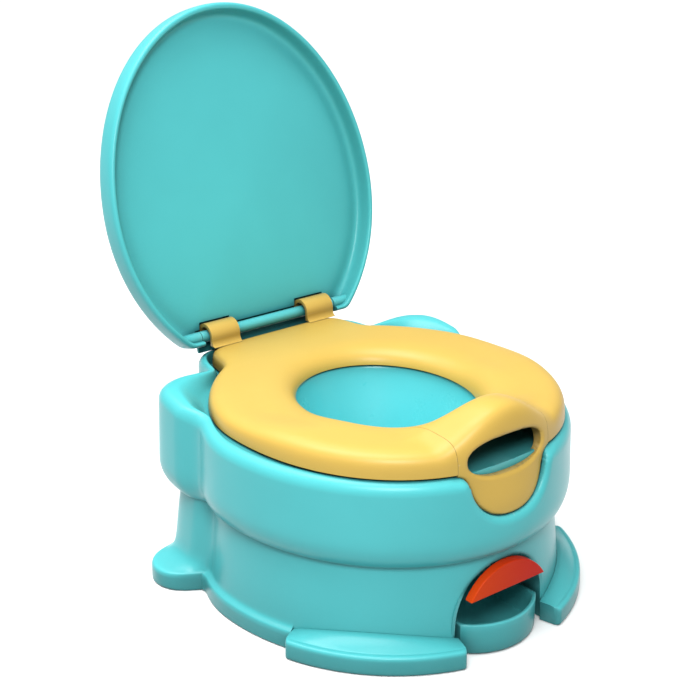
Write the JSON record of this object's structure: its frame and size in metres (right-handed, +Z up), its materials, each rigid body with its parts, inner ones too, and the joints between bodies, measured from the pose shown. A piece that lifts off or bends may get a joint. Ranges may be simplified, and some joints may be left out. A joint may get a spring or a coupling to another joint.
{
  "type": "potty training chair",
  "caption": "Toddler potty chair with a hinged lid, lift-off ring seat with splash guard and hand opening, lift-out bowl, and a slide-out drip tray in a stepped base.",
  "frame": {"origin": "on the floor, at the centre of the chair's bounding box seen from above", "axes": "+Z up, the child faces -Y, the lid is hinged at the back (+Y), X across the chair"},
  "size_m": [0.396, 0.485, 0.5253],
  "materials": {
    "teal_plastic": "injection-moulded polypropylene, smooth gloss",
    "pot_plastic": "polished moulded polypropylene",
    "yellow_plastic": "moulded polypropylene, satin gloss",
    "orange_plastic": "moulded plastic, orange fading to red",
    "rubber": "soft non-slip rubber",
    "steel": "zinc-plated screw"
  },
  "bodies": {
    "body": {"upper_body": "teal_plastic", "pedestal": "teal_plastic", "arch_crescent": "orange_plastic", "front_foot_left": "teal_plastic", "front_foot_right": "teal_plastic", "rubber_pad_front_left": "rubber", "rubber_pad_front_right": "rubber", "rubber_pad_rear_left": "rubber", "rubber_pad_rear_right": "rubber", "body_screw_1": "steel", "body_screw_2": "steel", "body_screw_3": "steel", "body_screw_4": "steel", "body_screw_5": "steel", "body_screw_6": "steel"},
    "pot": {"pot": "pot_plastic"},
    "seat": {"seat_ring": "yellow_plastic", "splash_guard": "yellow_plastic", "lid_hook_left": "yellow_plastic", "lid_hook_right": "yellow_plastic", "seat_bumper_1": "rubber", "seat_bumper_2": "rubber", "seat_bumper_3": "rubber", "seat_bumper_4": "rubber"},
    "lid": {"lid": "teal_plastic", "lid_hinge_rod": "teal_plastic"},
    "tray": {"tray": "teal_plastic"}
  },
  "joints": [
    {"name": "pot_lift", "type": "slide", "parent": "body", "child": "pot", "axis": [0, 0, 1], "range_m": [0, 0.14]},
    {"name": "seat_lift", "type": "slide", "parent": "pot", "child": "seat", "axis": [0, 0, 1], "range_m": [0, 0.09]},
    {"name": "lid_hinge", "type": "hinge", "parent": "seat", "child": "lid", "pos_m": [0, 0.14065, 0.206], "axis": [1, 0, 0], "range_deg": [0, 98]},
    {"name": "tray_slide", "type": "slide", "parent": "body", "child": "tray", "axis": [0, -1, 0], "range_m": [0, 0.18]}
  ]
}
